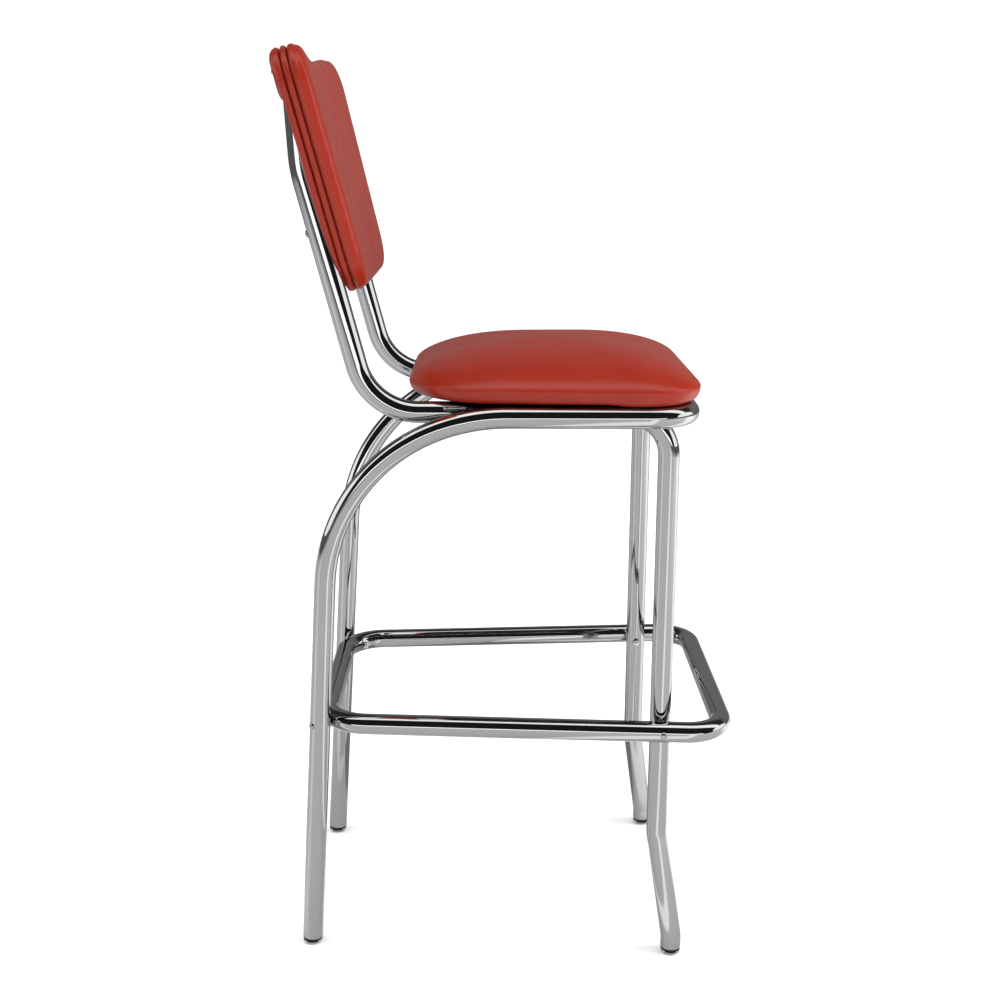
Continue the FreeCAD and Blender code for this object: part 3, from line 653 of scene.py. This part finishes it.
def rear_shape(a, b, c):
    away = np.abs(np.abs(a) - 151.0)
    # the cover swells over each tube end, like a sleeve that closes to a point below
    mouth = 79.0 + 12.0 * (np.clip(away, 0, 26.0) / 26.0) ** 1.5
    side = np.clip(1.0 - (away / 32.0) ** 3, 0, 1)
    swell = side * np.clip((b - mouth) / 5.0, 0, 1) * np.clip((136.0 - b) / 14.0, 0, 1) ** 0.6
    on_face = np.clip((48.5 - c) / 3.2, 0, 1)
    out = c - (c - 38.6) * swell * on_face
    # the layer thins towards its lower end
    thin = np.clip((-52.0 - b) / 86.0, 0, 1) ** 1.6
    return out + np.clip(52.0 - out, 0, None) * 0.82 * thin


def amount(c):
    return 5.0 + 4.0 * np.clip((c - 62.0) / 18.0, 0, 1)


rear_profile = [("in", 9.0, 52.8), ("in", 5.0, 52.9), ("in", 2.6, 52.6), ("in", 1.2, 51.8), ("in", 0.35, 50.6), ("in", 0.0, 49.0), ("in", 0.25, 47.5),
                ("in", 1.1, 46.2), ("in", 2.6, 45.3), ("in", 4.6, 44.8), ("in", 7.2, 44.45), ("in", 10.4, 44.15), ("in", 14.0, 43.9)]
for s in np.linspace(0.988, 0.02, 74):
    rear_profile.append(("sc", float(s), 43.9 - 3.4 * (1 - s ** 2)))
verts, faces = stack(pad_rows(rear_profile, amount, rear_shape), False, True)
faces = [tuple(reversed(f)) for f in faces]
rear = add_mesh("back_rear_cushion", verts, faces, mat_vinyl)
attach(rear, "stool_frame")
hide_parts("back_rear_cover", "back_rear_foam")

front_profile = [("in", 9.0, 61.8), ("in", 5.0, 61.7), ("in", 2.6, 62.0), ("in", 1.2, 62.8), ("in", 0.4, 64.0), ("in", 0.0, 65.7), ("in", 0.05, 67.4), ("in", 0.65, 69.1),
                 ("in", 1.7, 70.6), ("in", 2.5, 72.0), ("in", 2.9, 73.4), ("in", 3.5, 75.0), ("in", 4.8, 76.8), ("in", 6.9, 78.5), ("in", 9.9, 80.0), ("in", 14.0, 81.0)]
for s in np.linspace(0.985, 0.02, 60):
    front_profile.append(("sc", float(s), 81.0 + 3.0 * (1 - s ** 2.4)))
verts, faces = stack(pad_rows(front_profile, amount), False, True)
front = add_mesh("back_front_cushion", verts, faces, mat_vinyl)
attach(front, "stool_frame")
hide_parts("back_front_cover", "back_front_foam")

welt_profile = []
for i in range(17):
    t = math.pi * (-0.5 + i / 16.0)
    welt_profile.append(("in", 4.0 - 4.1 * math.cos(t), 57.25 + 3.95 * math.sin(t)))
verts, faces = stack(pad_rows([("in", 8.0, 53.4)] + welt_profile + [("in", 8.0, 61.1)], amount))
welt = add_mesh("back_welt_cord", verts, faces, mat_vinyl)
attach(welt, "stool_frame")
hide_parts("back_welt")


# ------------------------------------------------------------------ stage
def make_floor():
    me = bpy.data.meshes.new("floor")
    s = 80.0
    me.from_pydata([(-s, -s, 0), (s, -s, 0), (s, s, 0), (-s, s, 0)], [], [(0, 1, 2, 3)])
    ob = bpy.data.objects.new("floor", me)
    bpy.context.scene.collection.objects.link(ob)
    m = Nodes("studio floor")
    near = m.ramp(m.noise(0.6, 2.0), [(0.3, grey(0.90)), (0.7, grey(0.92))])
    # pools of light on the floor to the near right and out to the side
    place = m.add("ShaderNodeSeparateXYZ")
    m.link(m.coords(), place.inputs[0])
    turn = m.math("ARCTAN2", place.outputs["X"], m.math("MULTIPLY", place.outputs["Y"], -1.0))
    around = m.span(turn, 0.0, 1.0, -math.pi, math.pi)
    far = m.ramp(around, [((a + 180.0) / 360.0, grey(v)) for a, v in (
        (-180, 0.22), (-150, 0.24), (-138, 0.54), (-84, 0.54), (-76, 0.74), (-62, 0.74), (-54, 0.54), (-10, 0.52), (10, 0.50), (14, 0.95), (25, 0.95), (29, 0.52),
        (84, 0.50), (96, 0.95), (118, 0.95), (128, 0.54), (138, 0.54), (150, 0.24), (180, 0.22))])
    mix = m.add("ShaderNodeMix", data_type="RGBA")
    path = m.add("ShaderNodeLightPath")
    m.link(path.outputs["Is Glossy Ray"], mix.inputs[0])
    m.link(near, mix.inputs[6])
    # polished parts see a lit floor round the stool that falls away with distance
    length = m.add("ShaderNodeVectorMath", operation="LENGTH")
    m.link(m.coords(), length.inputs[0])
    fall = m.add("ShaderNodeMix", data_type="RGBA")
    m.link(m.span(length.outputs["Value"], 0.0, 1.0, 3.2, 5.5), fall.inputs[0])
    m.link(far, fall.inputs[6])
    fall.inputs[7].default_value = grey(0.12)
    m.link(fall.outputs[2], mix.inputs[7])
    m.shader(mix.outputs[2], 1.0, Specular_IOR_Level=0.0)
    me.materials.append(m.mat)
    return ob


def make_world():
    world = bpy.data.worlds.new("studio")
    bpy.context.scene.world = world
    world.use_nodes = True
    t = world.node_tree
    for n in list(t.nodes):
        t.nodes.remove(n)

    def add(kind, **kw):
        n = t.nodes.new(kind)
        for k, v in kw.items():
            setattr(n, k, v)
        return n

    out = add("ShaderNodeOutputWorld")
    coord = add("ShaderNodeTexCoord")
    sep = add("ShaderNodeSeparateXYZ")
    t.links.new(coord.outputs["Generated"], sep.inputs[0])
    # angle up from the far horizon over the top to the near horizon, 0 to 1
    ang = add("ShaderNodeMath", operation="ARCTAN2")
    t.links.new(sep.outputs["Z"], ang.inputs[0])
    t.links.new(sep.outputs["Y"], ang.inputs[1])
    frac = add("ShaderNodeMapRange")
    frac.inputs["From Min"].default_value = 0.0
    frac.inputs["From Max"].default_value = math.pi
    t.links.new(ang.outputs[0], frac.inputs["Value"])
    ramp = add("ShaderNodeValToRGB")
    e = ramp.color_ramp.elements
    # degrees up from the far horizon, brightness
    stops = [(0, 0.10), (28, 0.13), (40, 0.10), (50, 0.02), (76, 0.02), (82, 1.0), (106, 1.0), (112, 0.010), (176, 0.010), (180, 0.02)]
    while len(e) > 1:
        e.remove(e[-1])
    e[0].position, e[0].color = stops[0][0] / 180.0, grey(stops[0][1])
    for p, v in stops[1:]:
        x = e.new(p / 180.0)
        x.color = grey(v)
    t.links.new(frac.outputs["Result"], ramp.inputs["Fac"])
    # a lit panel out to each side
    wide = add("ShaderNodeMath", operation="ABSOLUTE")
    t.links.new(sep.outputs["X"], wide.inputs[0])
    panel = add("ShaderNodeMapRange")
    panel.inputs["From Min"].default_value = 0.90
    panel.inputs["From Max"].default_value = 0.93
    panel.inputs["To Max"].default_value = 0.95
    t.links.new(wide.outputs[0], panel.inputs["Value"])
    both = add("ShaderNodeMix", data_type="RGBA", blend_type="LIGHTEN")
    both.inputs[0].default_value = 1.0
    t.links.new(ramp.outputs["Color"], both.inputs[6])
    t.links.new(panel.outputs["Result"], both.inputs[7])
    studio = add("ShaderNodeBackground")
    studio.inputs["Strength"].default_value = 1.9
    t.links.new(both.outputs[2], studio.inputs["Color"])
    white = add("ShaderNodeBackground")
    white.inputs["Color"].default_value = grey(1.0)
    white.inputs["Strength"].default_value = 1.1
    path = add("ShaderNodeLightPath")
    mix = add("ShaderNodeMixShader")
    t.links.new(path.outputs["Is Camera Ray"], mix.inputs[0])
    t.links.new(studio.outputs[0], mix.inputs[1])
    t.links.new(white.outputs[0], mix.inputs[2])
    t.links.new(mix.outputs[0], out.inputs["Surface"])


def area(name, at, aim, size, power, glossy):
    data = bpy.data.lights.new(name, "AREA")
    data.shape = "RECTANGLE"
    data.size, data.size_y = size
    data.energy = power
    ob = bpy.data.objects.new(name, data)
    bpy.context.scene.collection.objects.link(ob)
    ob.location = at
    ob.rotation_mode = "QUATERNION"
    ob.rotation_quaternion = (Vector(aim) - Vector(at)).to_track_quat("-Z", "Y")
    ob.visible_glossy = glossy
    ob.visible_camera = False
    return ob


def dome(strength):
    data = bpy.data.lights.new("dome", "SUN")
    data.energy = strength
    data.angle = math.radians(150.0)
    ob = bpy.data.objects.new("dome", data)
    bpy.context.scene.collection.objects.link(ob)
    ob.rotation_euler = (math.radians(8.0), 0.0, 0.0)
    ob.visible_glossy = False
    return ob


floor = make_floor()
make_world()
dome(2.6)
area("key soft", (-1.2, -3.4, 2.2), (0, 0, 0.6), (2.6, 2.0), 26.0, False)
area("side fill", (3.2, -0.6, 1.7), (0, 0, 0.8), (2.0, 2.0), 80.0, False)
strip = area("low strip", (0.0, -7.0, 0.5), (0.0, 0.0, 0.5), (12.0, 1.0), 84.0, True)
strip.visible_diffuse = False
view = bpy.context.scene.view_settings
view.view_transform = "Standard"
view.look = "None"
view.exposure = 0.0
view.gamma = 1.0
